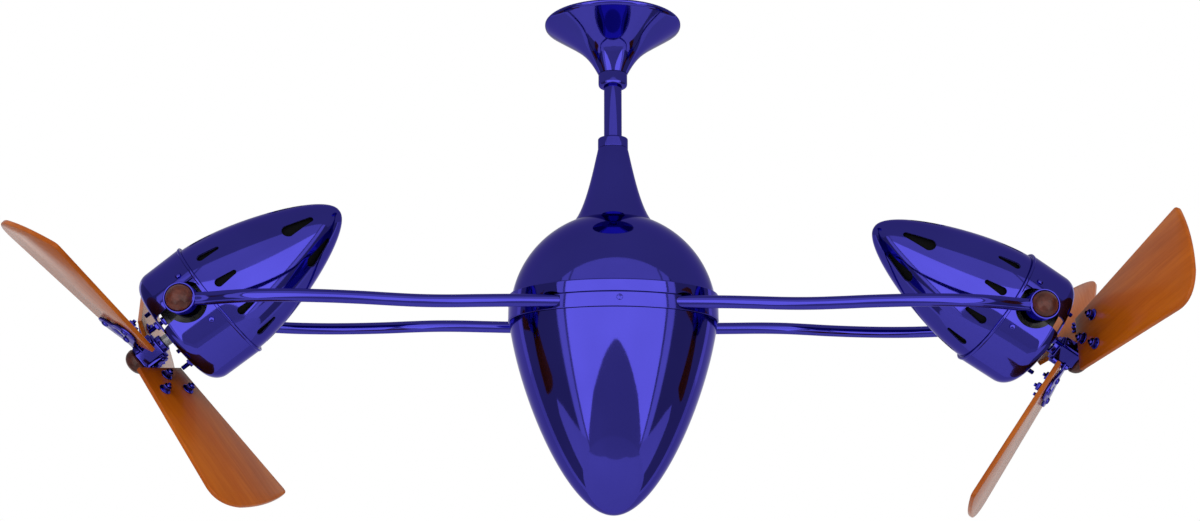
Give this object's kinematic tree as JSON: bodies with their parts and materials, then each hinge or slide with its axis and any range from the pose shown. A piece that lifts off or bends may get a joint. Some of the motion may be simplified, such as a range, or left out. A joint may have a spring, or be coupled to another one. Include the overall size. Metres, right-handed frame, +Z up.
{
  "type": "twin head ceiling fan",
  "caption": "Ceiling fan with two small tilting fan heads held between pairs of curved arms on a turning centre body, under a downrod and canopy.",
  "frame": {"origin": "middle of the bracket face that lies on the ceiling", "axes": "+Z up into the ceiling, the arms run along X, +Y away from the side pictured"},
  "size_m": [1.1493, 0.3791, 0.5255],
  "materials": {
    "blue_chrome": "polished, tinted deep blue",
    "plain_steel": "plain steel",
    "cast_aluminium": "as cast",
    "black_enamel": "black enamel",
    "copper": "copper coloured metal",
    "dark_plastic": "matt black",
    "blade_wood": "red-brown varnish",
    "turned_wood": "dark red-brown varnish"
  },
  "bodies": {
    "ceiling_mount": {"ceiling_bracket": "plain_steel", "canopy": "blue_chrome", "canopy_collar": "blue_chrome", "hanger_ball": "plain_steel", "downrod": "blue_chrome", "spindle": "plain_steel", "spindle_nut": "plain_steel", "slip_ring": "copper"},
    "carrier": {"neck_collar": "blue_chrome", "dome_shell": "blue_chrome", "upper_band": "blue_chrome", "lower_band": "blue_chrome", "bowl_shell": "blue_chrome", "hub_casting": "cast_aluminium", "upper_bearing": "plain_steel", "lower_bearing": "plain_steel", "brush_block": "dark_plastic", "arm_left_front": "blue_chrome", "pivot_bolt_left_front": "plain_steel", "pivot_cap_left_front": "turned_wood", "arm_left_rear": "blue_chrome", "pivot_bolt_left_rear": "plain_steel", "pivot_cap_left_rear": "turned_wood", "arm_right_front": "blue_chrome", "pivot_bolt_right_front": "plain_steel", "pivot_cap_right_front": "turned_wood", "arm_right_rear": "blue_chrome", "pivot_bolt_right_rear": "plain_steel", "pivot_cap_right_rear": "turned_wood"},
    "head_left": {"nose_cone_left": "blue_chrome", "motor_cover_left": "blue_chrome", "tilt_frame_left": "cast_aluminium", "motor_can_left": "black_enamel", "stator_left": "copper", "bearing_plate_left": "black_enamel"},
    "rotor_left": {"rotor_shaft_left": "plain_steel", "blade_hub_left": "blue_chrome", "finial_left": "turned_wood", "blade_iron_left_1": "blue_chrome", "blade_left_1": "blade_wood", "blade_iron_left_2": "blue_chrome", "blade_left_2": "blade_wood", "blade_iron_left_3": "blue_chrome", "blade_left_3": "blade_wood"},
    "head_right": {"nose_cone_right": "blue_chrome", "motor_cover_right": "blue_chrome", "tilt_frame_right": "cast_aluminium", "motor_can_right": "black_enamel", "stator_right": "copper", "bearing_plate_right": "black_enamel"},
    "rotor_right": {"rotor_shaft_right": "plain_steel", "blade_hub_right": "blue_chrome", "finial_right": "turned_wood", "blade_iron_right_1": "blue_chrome", "blade_right_1": "blade_wood", "blade_iron_right_2": "blue_chrome", "blade_right_2": "blade_wood", "blade_iron_right_3": "blue_chrome", "blade_right_3": "blade_wood"}
  },
  "joints": [
    {"name": "carrier_spin", "type": "hinge", "parent": "ceiling_mount", "child": "carrier", "pos_m": [0, 0, -0.31921], "axis": [0, 0, 1], "continuous": true},
    {"name": "head_tilt_left", "type": "hinge", "parent": "carrier", "child": "head_left", "pos_m": [-0.42, 0, -0.31921], "axis": [0, 1, 0], "range_deg": [-50.8, 129.2]},
    {"name": "rotor_spin_left", "type": "hinge", "parent": "head_left", "child": "rotor_left", "pos_m": [-0.42, 0, -0.31921], "axis": [0.7749, 0, 0.632], "continuous": true},
    {"name": "head_tilt_right", "type": "hinge", "parent": "carrier", "child": "head_right", "pos_m": [0.42, 0, -0.31921], "axis": [0, -1, 0], "range_deg": [-55.8, 124.2]},
    {"name": "rotor_spin_right", "type": "hinge", "parent": "head_right", "child": "rotor_right", "pos_m": [0.42, 0, -0.31921], "axis": [-0.8271, 0, 0.5621], "continuous": true}
  ]
}
